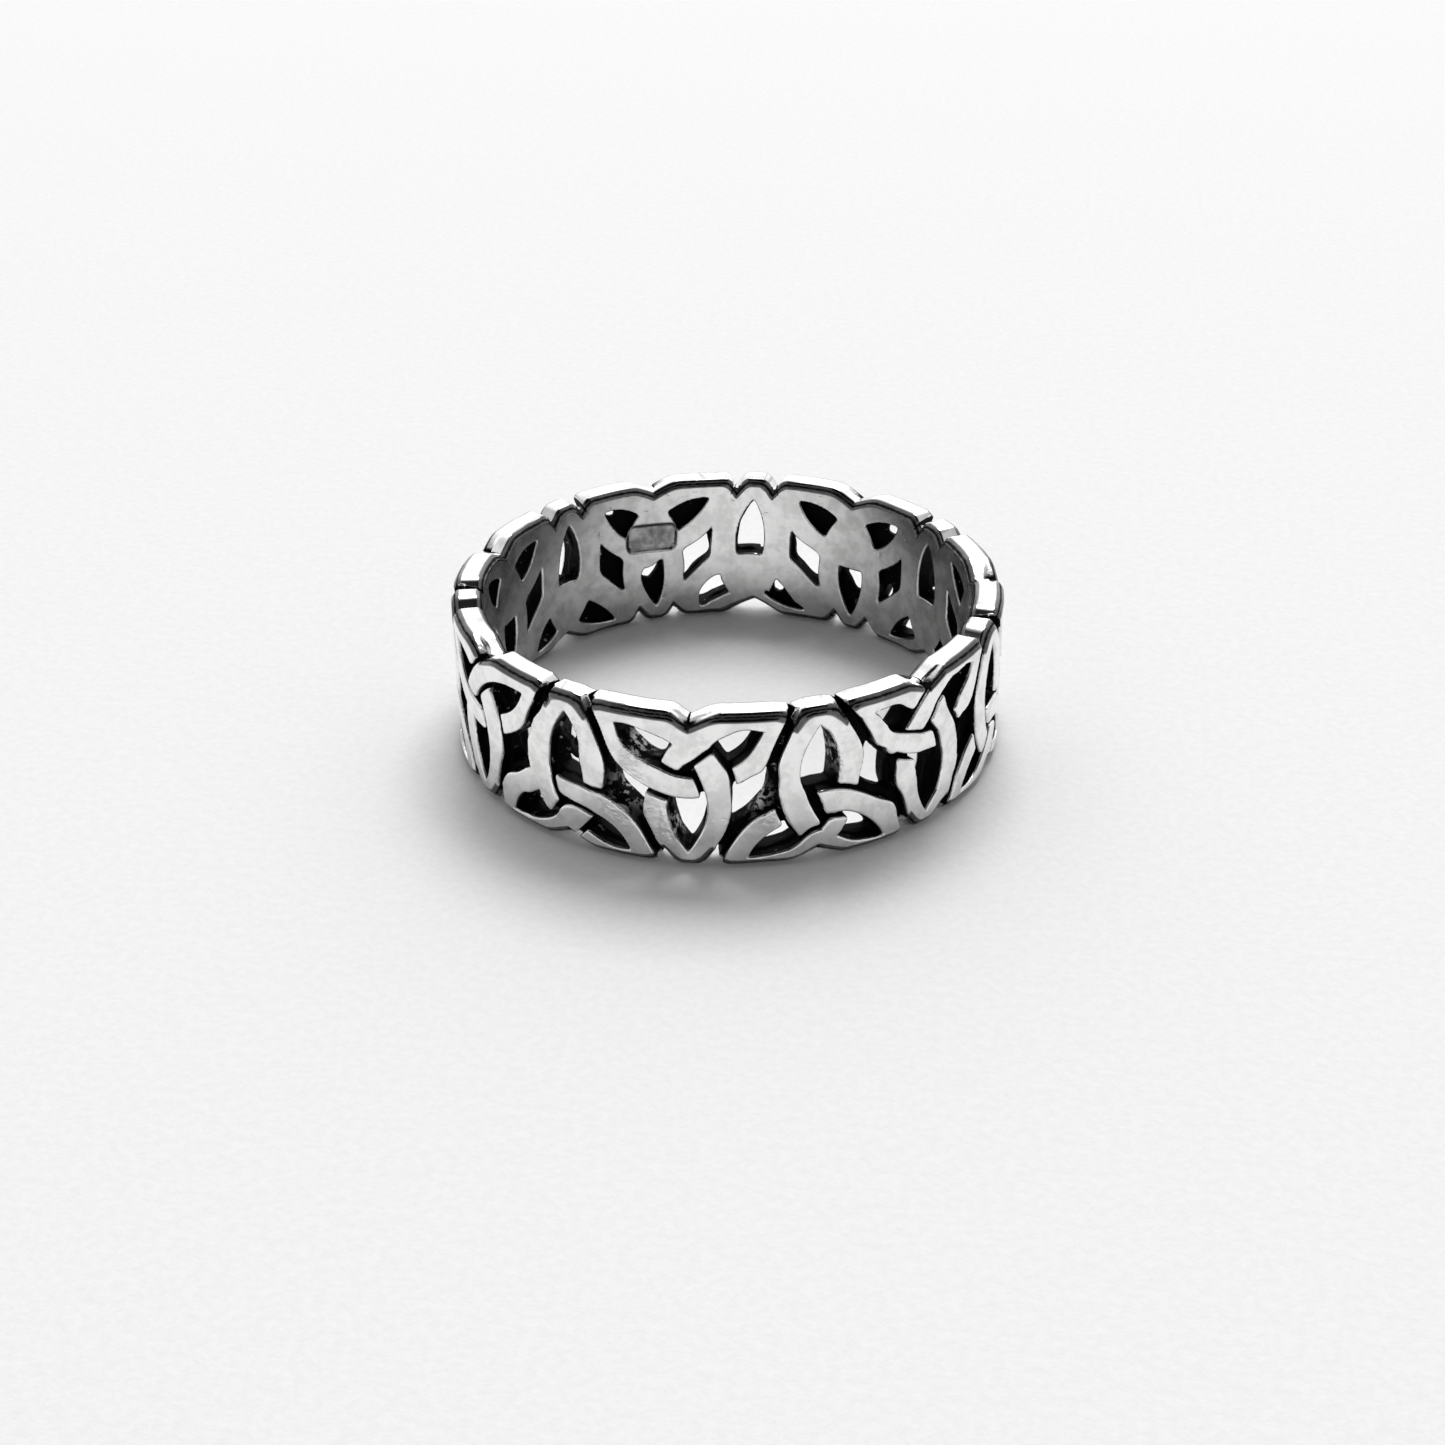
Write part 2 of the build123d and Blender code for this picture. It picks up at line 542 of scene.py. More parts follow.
@dataclass
class CastBand:
    """The ring: one cast band of pierced and interlaced knots.

    step and margin are the grid's, and probe is the length that slopes are taken over.
    rounds and the two least values steady the vertices' move onto the surface. warp
    and sway bend the pattern, hollows dent the recess floor and burrs rag the flange.
    """

    name: str
    sizes: BandSizes
    pattern: KnotPattern
    panel: StampPanel
    step: float = 0.06
    margin: float = 0.12
    triangles: int = 190_000
    probe: float = 0.012
    rounds: int = 2
    least_slope: float = 0.5
    least_normal: float = 1e-6
    warp: Ripple = Ripple(seed=5, wavelength=2.6)
    sway: Ripple = Ripple(seed=11, wavelength=2.2)
    hollows: Ripple = Ripple(seed=23, wavelength=0.9, waves=14)
    burrs: Ripple = Ripple(seed=31, wavelength=1.5, waves=12)
    warp_depth: float = 0.022
    hollow_depth: float = 0.045
    burr_lift: float = 0.35
    burr_most: float = 1.8
    # Tarnish and painted shade darken the bore, lightest round this spot facing the camera; the panel is
    # darker still.
    camera_facing: Spot = Spot(7, 0.4, 0.6)
    camera_facing_reach: float = 4.2
    shade_and_tarnish_depth: float = 0.34
    panel_darkness: float = 0.68
    panel_outline_darkness: float = 0.9

    def plan(self, along: Points, up: Points) -> Plan:
        """The plan at points of the band, with the casting's slight unevenness.

        Args:
            along: Arcs round the ring.
            up: Heights above the band's middle.

        Returns:
            The plan.
        """
        sizes = self.sizes
        angle = along / sizes.outer_radius
        moved = along + self.warp_depth * self.warp.over(angle, up)
        raised = up + self.warp_depth * self.sway.over(angle, up)
        tops, web, rim, slit = self.pattern.fields(moved, raised)
        rim = np.minimum(rim, sizes.half - sizes.skin - np.abs(up))
        floor = sizes.floor_radius + self.hollow_depth * self.hollows.over(angle, up)
        bore = sizes.inner_radius + self.panel.depth * self.panel.share(along, up, sizes)
        ragged = self.burrs.over(angle, up)
        flange = sizes.flange_width * np.clip(ragged + self.burr_lift, 0, self.burr_most)
        flange = flange + self.pattern.touched(along, up, Change.FLANGE)
        return Plan(tops, web, rim, slit, floor, bore, flange)

    def solid(self, plan: Plan, radius: Points) -> Points:
        """The whole band as one field.

        The web reaches the recess floor and the strands the outer radius; the two are
        joined, then cut by the bore, by the rim, by the slits, which narrow evenly to
        their depth, and by the bevels, each crease rounded.

        Args:
            plan: The plan at the points.
            radius: Distances from the axis.

        Returns:
            One distance for each point.
        """
        sizes = self.sizes
        face = sizes.outer_radius - sizes.skin - radius
        strands = soft_min(plan.tops, face, sizes.top_round)
        narrowed = plan.web + sizes.taper * (sizes.outer_radius - radius)
        base = soft_min(narrowed, plan.floor - radius, sizes.hole_round)
        plate = np.minimum(plan.floor - radius, radius - sizes.flange_low)
        base = soft_max(base, soft_min(plan.web + plan.flange, plate, sizes.hole_round), sizes.hole_round)
        metal = soft_max(strands, base, sizes.root_fill)
        metal = soft_min(metal, radius - plan.bore, sizes.hole_round)
        metal = soft_min(metal, plan.rim, sizes.edge_round)
        metal = soft_min(metal, -self.wedge(plan.slit, radius), sizes.slit_round)
        return soft_min(metal, self.bevels(plan, radius), sizes.bevel_round)

    def bevels(self, plan: Plan, radius: Points) -> Points:
        """How far points are inside the planes of the two bevels.

        Each is the distance from the face plus that from the rim, less the bevel's
        size, over the root of 2; the nearer bevel counts.

        Args:
            plan: The plan at the points.
            radius: Distances from the axis.

        Returns:
            One distance for each point.
        """
        sizes = self.sizes
        outer_edge = sizes.outer_radius - sizes.skin - radius + plan.rim - sizes.outer_bevel
        bore_edge = radius - plan.bore + plan.rim - sizes.bore_bevel
        return np.minimum(outer_edge, bore_edge) / np.sqrt(2)

    def wedge(self, slit: Points, radius: Points) -> Points:
        """The slits in the wall: their plan field less a slope down from the outer face."""
        slope = self.sizes.groove_width / 2 / self.sizes.slit_depth
        return slit - slope * (self.sizes.outer_radius - radius)

    def seam(self, along: Points, up: Points, radius: Points) -> Points:
        """The black line at the bottom of each cusp in the rim, which thins inwards.

        It is the seam's size less its taper times the distance from the cusp's middle,
        less the slits' slope down from the outer face; -1 away from the cusps.

        Args:
            along: Arcs round the ring.
            up: Heights above the band's middle.
            radius: Distances from the axis.

        Returns:
            One value for each point, more than 0 in the line.
        """
        sizes = self.sizes
        _, across, rise = self.pattern.seen_from(self.pattern.nearest(along), along, up)
        line = self.wedge(sizes.seam - sizes.seam_taper * np.abs(across), radius)
        return np.where(rise > sizes.half - sizes.cusp_depth - sizes.seam, line, -1.0)

    def grid(self) -> tuple[Points, Points, Points]:
        """The field on a grid of arc, height and radius that closes round the ring.

        Returns:
            The field, the grid's first corner and its three steps.
        """
        sizes = self.sizes
        count = round(sizes.around / self.step)
        pace = sizes.around / count
        low_up, low_radius = -sizes.half - self.margin, sizes.inner_radius - self.margin
        along = (np.arange(count) * pace)[:, None]
        up = np.arange(low_up, sizes.half + self.margin + self.step, self.step)[None, :]
        radius = np.arange(low_radius, sizes.outer_radius + self.margin + self.step, self.step)
        plan = self.plan(*np.broadcast_arrays(along, up))
        stacked = Plan(*(np.float32(part)[:, :, None] for part in plan))
        values = self.solid(stacked, np.float32(radius)[None, None, :])
        return values, np.array((0.0, low_up, low_radius)), np.array((pace, self.step, self.step))

    def place(self, along: Points, up: Points, radius: Points) -> Points:
        """Points of the band in the scene, in metres.

        x is radius times the sine of the angle, y is minus radius times its cosine,
        and z is the height above the floor.

        Args:
            along: Arcs round the ring.
            up: Heights above the band's middle.
            radius: Distances from the axis.

        Returns:
            An array with one row for each point.
        """
        angle = along / self.sizes.outer_radius
        spots = (radius * np.sin(angle), -radius * np.cos(angle), up + self.sizes.half)
        return np.stack(spots, -1) * METRE

    def unplace(self, points: Points) -> tuple[Points, Points, Points]:
        """Arcs, heights and radii of points of the scene, the reverse of place()."""
        x, y, z = (points / METRE).T
        return np.arctan2(x, -y) * self.sizes.outer_radius, z - self.sizes.half, np.hypot(x, y)

    def slope(self, along: Points, up: Points, radius: Points) -> tuple[Points, Points, Plan]:
        """The field, its gradient and the plan at points.

        The gradient is taken from differences over the probe's length each way along
        the three coordinates.

        Args:
            along: Arcs round the ring.
            up: Heights above the band's middle.
            radius: Distances from the axis.

        Returns:
            The field, its gradient as rows of (arc, height, radius), and the plan.
        """
        probe = self.probe
        here = self.plan(along, up)
        forward = self.solid(self.plan(along + probe, up), radius)
        backward = self.solid(self.plan(along - probe, up), radius)
        above = self.solid(self.plan(along, up + probe), radius)
        below = self.solid(self.plan(along, up - probe), radius)
        outer = self.solid(here, radius + probe)
        inner = self.solid(here, radius - probe)
        stretch = self.sizes.outer_radius / radius
        rows = ((forward - backward) * stretch, above - below, outer - inner)
        return self.solid(here, radius), np.stack(rows, -1) / (2 * probe), here

    def mesh(self) -> bpy.types.Object:
        """Builds the band's closed skin, thinned to its triangle budget.

        Returns:
            The object, with its normals and its layers.
        """
        values, corner, steps = self.grid()
        spots, quads = surface_net(values)
        along, up, radius = (corner + spots * steps).T
        rough = mesh_from(self.name + "_rough", self.place(along, up, radius), quads)
        holder = bpy.data.objects.new(self.name, rough)
        bpy.context.scene.collection.objects.link(holder)
        thin = holder.modifiers.new("thin", "DECIMATE")
        thin.ratio = min(1.0, self.triangles / (2 * len(quads)))
        graph = bpy.context.evaluated_depsgraph_get()
        fine = bpy.data.meshes.new_from_object(holder.evaluated_get(graph))
        holder.modifiers.clear()
        holder.data = fine
        fine.name = self.name
        self.settle(fine)
        return holder

    def settle(self, mesh: bpy.types.Mesh) -> None:
        """Moves the vertices onto the exact surface and gives them normals and layers.

        Each vertex moves against the gradient by the field's value over the
        gradient's squared length, and the normal is the gradient turned outwards.

        Args:
            mesh: The thinned mesh.
        """
        points = np.empty(len(mesh.vertices) * 3, np.float32)
        mesh.vertices.foreach_get("co", points)
        along, up, radius = self.unplace(points.reshape(-1, 3).astype(float))
        for _ in range(self.rounds):
            value, gradient, _ = self.slope(along, up, radius)
            length = np.maximum((gradient ** 2).sum(1), self.least_slope ** 2)
            shift = -np.clip(value / length, -self.step / 2, self.step / 2)[:, None] * gradient
            along = along + shift[:, 0] * self.sizes.outer_radius / radius
            up, radius = up + shift[:, 1], radius + shift[:, 2]
        _, gradient, plan = self.slope(along, up, radius)
        mesh.vertices.foreach_set("co", self.place(along, up, radius).astype(np.float32).ravel())
        angle = along / self.sizes.outer_radius
        outward = np.stack((np.sin(angle), -np.cos(angle), np.zeros_like(angle)), -1)
        around = np.stack((np.cos(angle), np.sin(angle), np.zeros_like(angle)), -1)
        normals = -(gradient[:, :1] * around + gradient[:, 2:] * outward)
        normals[:, 2] -= gradient[:, 1]
        normals /= np.maximum(np.linalg.norm(normals, axis=1, keepdims=True), self.least_normal)
        layers = {
            Layer.RIM: plan.rim,
            Layer.HEIGHT: radius - plan.bore,
            Layer.DEPTH: self.sizes.outer_radius - radius,
            Layer.SPARK: self.pattern.touched(along, up, Change.SPARK),
            Layer.SHADE_AND_TARNISH: self.shade_and_tarnish(along, up),
            Layer.WEDGE: np.maximum(self.wedge(plan.slit, radius), self.seam(along, up, radius)),
            Layer.BEVEL: self.bevels(plan, radius),
        }
        for layer, values in layers.items():
            attribute = mesh.attributes.new(layer.value, "FLOAT", "POINT")
            attribute.data.foreach_set("value", values.astype(np.float32))
        mesh.update()
        mesh.shade_smooth()
        mesh.normals_split_custom_set_from_vertices(normals.tolist())

    def shade_and_tarnish(self, along: Points, up: Points) -> Points:
        """How dark the bore's tarnish and painted shade are at each point, 0 to 1.

        It is one minus a bell curve round the spot of the bore that faces the camera,
        times its depth: painted shade with tarnish, lightest at that spot. The panel has
        more of it, and its outline, four times its share times one minus that, the most.

        Args:
            along: Arcs round the ring.
            up: Heights above the band's middle.

        Returns:
            One value for each point.
        """
        camera_facing = self.camera_facing.nearness(along, up, self.sizes, self.camera_facing_reach)
        share = self.panel.share(along, up, self.sizes)
        inside = np.maximum(self.shade_and_tarnish_depth * (1 - camera_facing), self.panel_darkness * share)
        return np.maximum(inside, self.panel_outline_darkness * 4 * share * (1 - share))

    def build(self, finish: "OxidisedSilver") -> bpy.types.Object:
        """Builds the band, dresses it and sets it in the frame.

        Args:
            finish: The metal's finish.

        Returns:
            The finished object.
        """
        band = self.mesh()
        band.data.materials.clear()
        band.data.materials.append(finish.material())
        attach(band, "root")
        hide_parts("knot_band")
        return band


def surface_net(values: Points) -> tuple[Points, Points]:
    """The skin where a field on a grid changes sign, as vertices and quads.

    Each cell of the grid that the skin crosses gets one vertex, at the mean of the
    points where the cell's edges change sign by straight-line share. Each grid edge
    that changes sign gets one quad, through the four cells round it. The first axis
    closes on itself, and at the ends of the other two the field is below 0.

    Args:
        values: The field, more than 0 inside.

    Returns:
        Vertices in grid steps, and quads that face outwards.
    """
    inside = values > 0
    corners = [(a, b, c) for a in (0, 1) for b in (0, 1) for c in (0, 1)]
    tally = np.zeros(values.shape, np.int8)
    for start in corners:
        tally += np.roll(inside, tuple(-place for place in start), (0, 1, 2))
    cells = np.argwhere((tally > 0) & (tally < len(corners)))
    number = np.full(values.shape, -1, np.int64)
    number[tuple(cells.T)] = np.arange(len(cells))
    held = {}
    for a, b, c in corners:
        held[a, b, c] = values[(cells[:, 0] + a) % len(values), cells[:, 1] + b, cells[:, 2] + c]
    total = np.zeros((len(cells), 3))
    weight = np.zeros(len(cells))
    for axis in range(3):
        for start in corners:
            if start[axis]:
                continue
            end = tuple(place + (index == axis) for index, place in enumerate(start))
            first, second = held[start], held[end]
            crosses = (first > 0) != (second > 0)
            share = np.where(crosses, first / np.where(crosses, first - second, 1), 0)
            spot = np.tile(np.float64(start), (len(cells), 1))
            spot[:, axis] = share
            total += spot * crosses[:, None]
            weight += crosses
    quads = []
    for axis in range(3):
        edges = np.argwhere(inside != np.roll(inside, -1, axis))
        quads.append(ring_of_cells(number, edges, axis, inside))
    return cells + total / weight[:, None], np.concatenate(quads)


def ring_of_cells(number: Points, edges: Points, axis: int, inside: Points) -> Points:
    """The quads through the four cells round each edge of a grid.

    Args:
        number: Each cell's vertex, -1 where it has none.
        edges: The first corner of each edge.
        axis: The axis that the edges run along.
        inside: Whether each grid point is inside.

    Returns:
        Rows of four vertices, in the order that faces out of the shape.
    """
    beside, beyond = (other for other in range(3) if other != axis)
    rings = []
    for first, second in ((1, 1), (0, 1), (0, 0), (1, 0)):
        cell = edges.copy()
        cell[:, beside] -= first
        cell[:, beyond] -= second
        rings.append(number[cell[:, 0] % len(number), cell[:, 1], cell[:, 2]])
    quads = np.stack(rings, -1)
    turned = inside[tuple(edges.T)] == (axis == 1)
    quads[turned] = quads[turned][:, ::-1]
    return quads


def mesh_from(name: str, points: Points, quads: Points) -> bpy.types.Mesh:
    """A mesh from arrays of points and quads.

    Args:
        name: The mesh's name.
        points: Rows of x, y, z in metres.
        quads: Rows of four point numbers.

    Returns:
        The mesh.
    """
    mesh = bpy.data.meshes.new(name)
    mesh.vertices.add(len(points))
    mesh.vertices.foreach_set("co", points.astype(np.float32).ravel())
    mesh.loops.add(quads.size)
    mesh.loops.foreach_set("vertex_index", quads.astype(np.int32).ravel())
    mesh.polygons.add(len(quads))
    mesh.polygons.foreach_set("loop_start", np.arange(0, quads.size, 4, dtype=np.int32))
    mesh.update(calc_edges=True)
    return mesh


@dataclass(frozen=True)
class Grain:
    """A noise: its waves in a metre, its finer octaves and how strong they are."""

    per_metre: float
    octaves: float
    strength: float = 0.5


@dataclass(frozen=True)
class Step:
    """A smooth step from start to end, as a value goes from low to high."""

    low: float
    high: float
    start: float = 0.0
    end: float = 1.0


Socket = bpy.types.NodeSocket


class NodeSheet:
    """The node tree of a material or a world, with short calls that add and join nodes.

    A value that a call takes is another node's socket, which is joined, or a number
    or colour, which is set. The Mix node keeps its colours after five other sockets.
    """

    BEFORE_COLOURS = (None,) * 5
    COLOUR_OUTPUT = 2

    def __init__(self, owner: bpy.types.ID) -> None:
        """Empties the tree of that material or world."""
        owner.use_nodes = True
        self.tree = owner.node_tree
        self.tree.nodes.clear()

    def add(self, kind: str, settings: dict[str, object] | None = None, *values: object,
            **inputs: object) -> bpy.types.Node:
        """Adds a node.

        Args:
            kind: Blender's name for the node, without its ShaderNode.
            settings: The node's own properties.
            *values: Values for its first sockets, with None for one left alone.
            **inputs: Values for its sockets by name, with _ for a space.

        Returns:
            The node.
        """
        node = self.tree.nodes.new("ShaderNode" + kind)
        for key, value in (settings or {}).items():
            setattr(node, key, value)
        named = [(node.inputs[key.replace("_", " ")], value) for key, value in inputs.items()]
        for socket, value in (*zip(node.inputs, values), *named):
            if isinstance(value, Socket):
                self.tree.links.new(value, socket)
            elif value is not None:
                socket.default_value = value
        return node

    def math(self, operation: str, *values: object) -> Socket:
        """The outcome of a Math node on its one to three values."""
        return self.add("Math", {"operation": operation}, *values).outputs[0]

    def product(self, *values: object) -> Socket:
        """The values multiplied together."""
        return reduce(lambda first, second: self.math("MULTIPLY", first, second), values)

    def ramp(self, value: object, step: Step) -> Socket:
        """A value put through a smooth step."""
        return self.add("MapRange", {"interpolation_type": "SMOOTHSTEP"}, value, step.low, step.high,
                        step.start, step.end).outputs["Result"]

    def noise(self, vector: Socket, grain: Grain) -> Socket:
        """A Noise texture's value, 0 to 1, at places in metres."""
        return self.add("TexNoise", Vector=vector, Scale=grain.per_metre, Detail=grain.octaves,
                        Roughness=grain.strength).outputs[0]

    def blend(self, share: Socket, first: object, second: object) -> Socket:
        """The colour that is share of the way from the first to the second."""
        values = (share, *self.BEFORE_COLOURS, first, second)
        return self.add("Mix", {"data_type": "RGBA"}, *values).outputs[self.COLOUR_OUTPUT]

    def lobe(self, direction: Socket, middle: tuple[float, float, float], whole: float,
             none: float) -> Socket:
        """A round spot on the sky: 1 within whole degrees of middle, 0 beyond none."""
        share = self.add("VectorMath", {"operation": "DOT_PRODUCT"}, direction, middle)
        return self.ramp(share.outputs["Value"], Step(cos(radians(none)), cos(radians(whole))))

    def finish(self, surface: bpy.types.Node, output: str = "OutputMaterial") -> None:
        """Joins the surface to an output node of the given kind."""
        self.add(output, Surface=surface.outputs[0])


@dataclass(frozen=True)
class OxidisedSilver:
    """Polished cast silver, blackened in its recesses.

    The grains are those of the wandering limits, crumbs, patches, shards, pits,
    mottle and fine roughness. Each step turns a layer or a grain into a share.
    """

    name: str = "oxidised_silver"
    silver: Colour = (0.90, 0.90, 0.895, 1)
    cloudy: Colour = (0.75, 0.75, 0.745, 1)
    black: Colour = (0.002, 0.002, 0.002, 1)
    polish: float = 0.10
    cloud: float = 0.08
    satin: float = 0.17
    dull: float = 0.55
    reflex: float = 0.04
    wander: float = 0.08
    crumb_share: float = 0.5
    shard_dulling: float = 0.7
    # how dark the painted reflection on the bevels is
    painted_bevel_dark_strength: float = 0.8
    wander_grain: Grain = Grain(5200, 3, 0.6)
    crumb_grain: Grain = Grain(3300, 5, 0.65)
    patch_grain: Grain = Grain(620, 2)
    shard_grain: Grain = Grain(2600, 6, 0.7)
    pit_grain: Grain = Grain(2600, 2)
    mottle_grain: Grain = Grain(1500, 4, 0.6)
    fine_grain: Grain = Grain(4200, 4, 0.65)
    below_tops: Step = Step(0.07, 0.12)
    above_bore: Step = Step(0.03, 0.08)
    inside_rim: Step = Step(0.05, 0.12)
    in_slit: Step = Step(-0.04, -0.02)
    crumbs: Step = Step(0.62, 0.68)
    patches: Step = Step(0.5, 0.62)
    shards: Step = Step(0.5, 0.56)
    pits: Step = Step(0.66, 0.74)
    clouds: Step = Step(0.6, 0.86)
    near_bore: Step = Step(0.12, 0.04)
    # mottles the bore's tarnish and painted shade
    shade_and_tarnish_mottle: Step = Step(0.2, 0.7, 1.25, 0.75)
    # where the painted dark reflection on the bevels starts and is whole
    painted_bevel_dark_step: Step = Step(0.05, 0.015)
    bump: Step = Step(0.0, 0.06, 0.04, 0.22)
    bump_depth: float = 0.03
    mottle_relief: float = 0.5
    rubble_relief: float = 6.0
    shard_relief: float = 24.0

    def patina(self, sheet: NodeSheet, spot: Socket, layers: dict[Layer, Socket],
               shards: Socket) -> Socket:
        """The share of black.

        The black lies where the surface is below the strand tops, above the bore and
        away from the rim, each limit wandering with a fine noise, and in the slits.
        Crumbs of bare metal, in patches, and the shards break it.

        Args:
            sheet: The material's nodes.
            spot: The place on the band.
            layers: The band's layers.
            shards: The share of shards.

        Returns:
            The share.
        """
        around_zero = sheet.math("SUBTRACT", sheet.noise(spot, self.wander_grain), 0.5)
        stray = sheet.product(around_zero, self.wander)
        limits = ((Layer.DEPTH, self.below_tops), (Layer.HEIGHT, self.above_bore),
                  (Layer.RIM, self.inside_rim))
        share = sheet.product(*(
            sheet.ramp(sheet.math("SUBTRACT", layers[layer], stray), step) for layer, step in limits
        ))
        share = sheet.math("MAXIMUM", share, sheet.ramp(layers[Layer.WEDGE], self.in_slit))
        crumbs = sheet.ramp(sheet.noise(spot, self.crumb_grain), self.crumbs)
        patches = sheet.ramp(sheet.noise(spot, self.patch_grain), self.patches)
        glint = sheet.math("MAXIMUM", sheet.product(crumbs, patches, self.crumb_share), shards)
        return sheet.product(share, sheet.math("SUBTRACT", 1.0, glint))

    def material(self) -> bpy.types.Material:
        """The metal's material.

        The bare metal is mottled and cloudy, and turns black by the patina's share.
        The bore is satin and darkened by tarnish and painted shade, and the bevels by a painted dark
        reflection.
        Fine rubble roughens the black.

        Returns:
            The material.
        """
        material = bpy.data.materials.new(self.name)
        sheet = NodeSheet(material)
        spot = sheet.add("TexCoord").outputs["Object"]
        layers = {
            layer: sheet.add("Attribute", {"attribute_name": layer.value}).outputs["Fac"]
            for layer in Layer
        }
        spark = layers[Layer.SPARK]
        shards = sheet.product(sheet.ramp(sheet.noise(spot, self.shard_grain), self.shards), spark)
        patina = self.patina(sheet, spot, layers, shards)

        mottle = sheet.noise(spot, self.mottle_grain)
        fine = sheet.noise(spot, self.fine_grain)
        clouds = sheet.ramp(sheet.math("MULTIPLY_ADD", fine, 0.5, mottle), self.clouds)
        inner = sheet.ramp(layers[Layer.HEIGHT], self.near_bore)
        # The bore's tarnish and painted shade, near the bore only, mottled.
        shade_and_tarnish = sheet.product(layers[Layer.SHADE_AND_TARNISH], inner, sheet.ramp(mottle, self.shade_and_tarnish_mottle))
        # A painted dark reflection on the bevels, fading off them.
        painted_bevel_dark = sheet.product(sheet.ramp(layers[Layer.BEVEL], self.painted_bevel_dark_step), self.painted_bevel_dark_strength)
        bare = sheet.blend(clouds, self.cloudy, self.silver)
        shaded_and_tarnished = sheet.blend(sheet.math("MAXIMUM", shade_and_tarnish, painted_bevel_dark), bare, self.black)

        smooth = sheet.math("MULTIPLY_ADD", mottle, self.cloud, self.polish - self.cloud / 2)
        smooth = sheet.math("MULTIPLY_ADD", inner, self.satin - self.polish, smooth)
        rough = sheet.add("Mix", {"data_type": "FLOAT"}, Factor=patina, A=smooth, B=self.dull)
        metallic = sheet.math("MULTIPLY_ADD", shards, -self.shard_dulling, 1.0)

        pits = sheet.ramp(sheet.noise(spot, self.pit_grain), self.pits)
        relief = sheet.math("SUBTRACT", sheet.product(mottle, self.mottle_relief), pits)
        rubble = sheet.product(fine, sheet.math("MULTIPLY_ADD", spark, self.shard_relief, patina))
        relief = sheet.math("ADD", relief, sheet.product(rubble, self.rubble_relief))
        bump = sheet.add("Bump", Strength=sheet.ramp(layers[Layer.RIM], self.bump),
                         Distance=self.bump_depth * METRE, Height=relief)
        sheet.finish(sheet.add("BsdfPrincipled", Base_Color=sheet.blend(patina, shaded_and_tarnished, self.black),
                               Metallic=sheet.math("SUBTRACT", metallic, patina),
                               Roughness=rough.outputs["Result"], Normal=bump.outputs[0],
                               Specular_IOR_Level=self.reflex))
        return material


@dataclass(frozen=True)
class PaperFinish:
    """Plain pale paper with a faint tooth."""

    name: str = "pale_paper"
    colour: Colour = (0.84, 0.84, 0.84, 1)
    pale: Colour = (0.88, 0.88, 0.88, 1)
    fleck_grain: Grain = Grain(3000, 3, 0.7)
    tooth_grain: Grain = Grain(900, 4)
    flecks: Step = Step(0.3, 0.7)
    tooth: float = 0.04
    bump: float = 0.35
    rough: float = 0.9

    def material(self) -> bpy.types.Material:
        """The paper's material: flecks of a paler tone, raised with the tooth.

        Returns:
            The material.
        """
        material = bpy.data.materials.new(self.name)
        sheet = NodeSheet(material)
        spot = sheet.add("TexCoord").outputs["Object"]
        fleck = sheet.noise(spot, self.fleck_grain)
        height = sheet.math("ADD", sheet.noise(spot, self.tooth_grain), fleck)
        bump = sheet.add("Bump", Strength=self.bump, Distance=self.tooth * METRE, Height=height)
        tone = sheet.blend(sheet.ramp(fleck, self.flecks), self.colour, self.pale)
        sheet.finish(sheet.add("BsdfPrincipled", Base_Color=tone, Roughness=self.rough,
                               Normal=bump.outputs[0], Specular_IOR_Level=0.0))
        return material


@dataclass
class Floor:
    """The paper that the ring lies on."""

    side: float = 2400.0
    drop: float = 0.004

    def build(self, finish: PaperFinish) -> bpy.types.Object:
        """Lays the floor: one square, its corners at plus and minus half its side.

        Args:
            finish: The paper's finish.

        Returns:
            The floor.
        """
        corners = np.array([(-1, -1, 0), (1, -1, 0), (1, 1, 0), (-1, 1, 0)]) * self.side / 2
        corners[:, 2] = -self.drop
        mesh = mesh_from("floor", corners * METRE, np.array([[0, 1, 2, 3]]))
        mesh.materials.append(finish.material())
        floor = bpy.data.objects.new("floor", mesh)
        bpy.context.scene.collection.objects.link(floor)
        return floor


@dataclass
class PhotoCamera:
    """The camera, as the rims and knots of the photograph place it."""

    azimuth: float = 8.145
    elevation: float = 29.637
    roll: float = 0.4977
    distance: float = 96.476
    focal_pixels: float = 2542.9
    frame_pixels: float = 1445.0
    ring_column: float = 728.0
    ring_row: float = 652.8
    sensor: float = 36.0
    nearest: float = 5.0
    farthest: float = 10000.0

    def build(self, ring_height: float) -> bpy.types.Object:
        """Makes the camera so that the ring's middle falls on its place in the frame.

        Args:
            ring_height: The height of the ring's middle above the floor.

        Returns:
            The camera.
        """
        data = bpy.data.cameras.new("photo_camera")
        data.sensor_width = self.sensor
        data.lens = self.focal_pixels / self.frame_pixels * self.sensor
        data.clip_start = self.nearest * METRE
        data.clip_end = self.farthest * METRE
        turn = Matrix.Rotation(radians(self.azimuth), 3, "Z")
        tilt = Matrix.Rotation(radians(90 - self.elevation), 3, "X")
        spin = Matrix.Rotation(-radians(self.roll), 3, "Z")
        facing = turn @ tilt @ spin
        middle = self.frame_pixels / 2
        ray = Vector(((self.ring_column - middle) / self.focal_pixels,
                      (middle - self.ring_row) / self.focal_pixels, -1)).normalized()
        spot = Vector((0, 0, ring_height)) - facing @ ray * self.distance
        camera = bpy.data.objects.new("photo_camera", data)
        camera.matrix_world = Matrix.Translation(spot * METRE) @ facing.to_4x4()
        bpy.context.scene.collection.objects.link(camera)
        bpy.context.scene.camera = camera
        return camera


